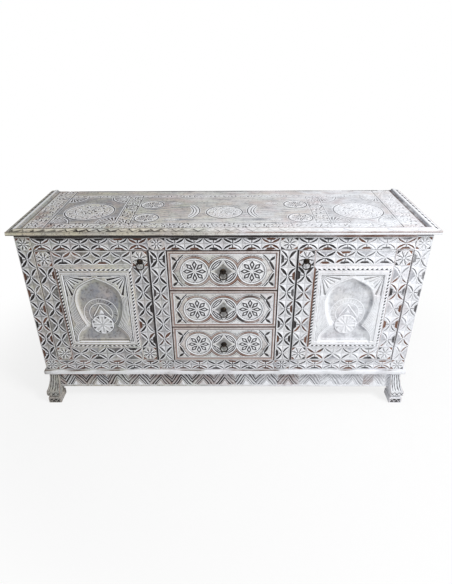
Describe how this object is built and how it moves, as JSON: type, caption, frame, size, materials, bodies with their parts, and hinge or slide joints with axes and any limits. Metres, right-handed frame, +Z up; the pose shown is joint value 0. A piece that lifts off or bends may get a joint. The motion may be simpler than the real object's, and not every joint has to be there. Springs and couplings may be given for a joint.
{
  "type": "carved sideboard cabinet",
  "caption": "Long carved wooden sideboard with a tray-like top, cupboard doors at the ends, drawers between them, ring pulls and scroll feet.",
  "frame": {"origin": "middle of the footprint on the floor", "axes": "+X along the front to the viewer's right, -Y out of the front, +Z up"},
  "size_m": [1.7, 0.545, 0.89],
  "materials": {
    "limed_wood": "matt whitewash, rubbed through to brown on the edges",
    "bare_wood": "plain unpainted wood",
    "dark_iron": "dark forged iron with worn bright spots"
  },
  "bodies": {
    "carcass": {"top_panel": "limed_wood", "top_moulding_front": "limed_wood", "top_moulding_left": "limed_wood", "top_moulding_right": "limed_wood", "top_rail": "limed_wood", "bottom_rail": "limed_wood", "back_panel": "bare_wood", "base_board": "limed_wood", "apron": "limed_wood", "corner_post_left": "limed_wood", "inner_post_left": "limed_wood", "side_plank_left": "limed_wood", "partition_left": "bare_wood", "foot_front_left": "limed_wood", "foot_back_left": "limed_wood", "corner_post_right": "limed_wood", "inner_post_right": "limed_wood", "side_plank_right": "limed_wood", "partition_right": "bare_wood", "foot_front_right": "limed_wood", "foot_back_right": "limed_wood", "drawer_divider_1": "bare_wood", "drawer_divider_2": "bare_wood", "drawer_divider_3": "bare_wood"},
    "door_left": {"door_left_outer_stile": "limed_wood", "door_left_inner_stile": "limed_wood", "door_left_top_rail": "limed_wood", "door_left_bottom_rail": "limed_wood", "door_left_panel": "limed_wood", "door_left_rose": "dark_iron"},
    "door_left_ring": {"door_left_ring": "dark_iron"},
    "door_right": {"door_right_outer_stile": "limed_wood", "door_right_inner_stile": "limed_wood", "door_right_top_rail": "limed_wood", "door_right_bottom_rail": "limed_wood", "door_right_panel": "limed_wood", "door_right_rose": "dark_iron"},
    "door_right_ring": {"door_right_ring": "dark_iron"},
    "drawer_1": {"drawer_1_front": "limed_wood", "drawer_1_side_left": "bare_wood", "drawer_1_side_right": "bare_wood", "drawer_1_back": "bare_wood", "drawer_1_bottom": "bare_wood", "drawer_1_rose": "dark_iron"},
    "drawer_1_ring": {"drawer_1_ring": "dark_iron"},
    "drawer_2": {"drawer_2_front": "limed_wood", "drawer_2_side_left": "bare_wood", "drawer_2_side_right": "bare_wood", "drawer_2_back": "bare_wood", "drawer_2_bottom": "bare_wood", "drawer_2_rose": "dark_iron"},
    "drawer_2_ring": {"drawer_2_ring": "dark_iron"},
    "drawer_3": {"drawer_3_front": "limed_wood", "drawer_3_side_left": "bare_wood", "drawer_3_side_right": "bare_wood", "drawer_3_back": "bare_wood", "drawer_3_bottom": "bare_wood", "drawer_3_rose": "dark_iron"},
    "drawer_3_ring": {"drawer_3_ring": "dark_iron"}
  },
  "joints": [
    {"name": "door_left_hinge", "type": "hinge", "parent": "carcass", "child": "door_left", "pos_m": [-0.756, -0.2445, 0.522], "axis": [0, 0, -1], "range_deg": [0, 90]},
    {"name": "door_left_ring_swing", "type": "hinge", "parent": "door_left", "child": "door_left_ring", "pos_m": [-0.338, -0.2625, 0.748], "axis": [-1, 0, 0], "range_deg": [0, 100]},
    {"name": "door_right_hinge", "type": "hinge", "parent": "carcass", "child": "door_right", "pos_m": [0.756, -0.2445, 0.522], "axis": [0, 0, 1], "range_deg": [0, 90]},
    {"name": "door_right_ring_swing", "type": "hinge", "parent": "door_right", "child": "door_right_ring", "pos_m": [0.338, -0.2625, 0.748], "axis": [-1, 0, 0], "range_deg": [0, 100]},
    {"name": "drawer_1_slide", "type": "slide", "parent": "carcass", "child": "drawer_1", "axis": [0, -1, 0], "range_m": [0, 0.33]},
    {"name": "drawer_1_ring_swing", "type": "hinge", "parent": "drawer_1", "child": "drawer_1_ring", "pos_m": [0, -0.2615, 0.70133], "axis": [-1, 0, 0], "range_deg": [0, 100]},
    {"name": "drawer_2_slide", "type": "slide", "parent": "carcass", "child": "drawer_2", "axis": [0, -1, 0], "range_m": [0, 0.33]},
    {"name": "drawer_2_ring_swing", "type": "hinge", "parent": "drawer_2", "child": "drawer_2_ring", "pos_m": [0, -0.2615, 0.518], "axis": [-1, 0, 0], "range_deg": [0, 100]},
    {"name": "drawer_3_slide", "type": "slide", "parent": "carcass", "child": "drawer_3", "axis": [0, -1, 0], "range_m": [0, 0.33]},
    {"name": "drawer_3_ring_swing", "type": "hinge", "parent": "drawer_3", "child": "drawer_3_ring", "pos_m": [0, -0.2615, 0.33467], "axis": [-1, 0, 0], "range_deg": [0, 100]}
  ]
}
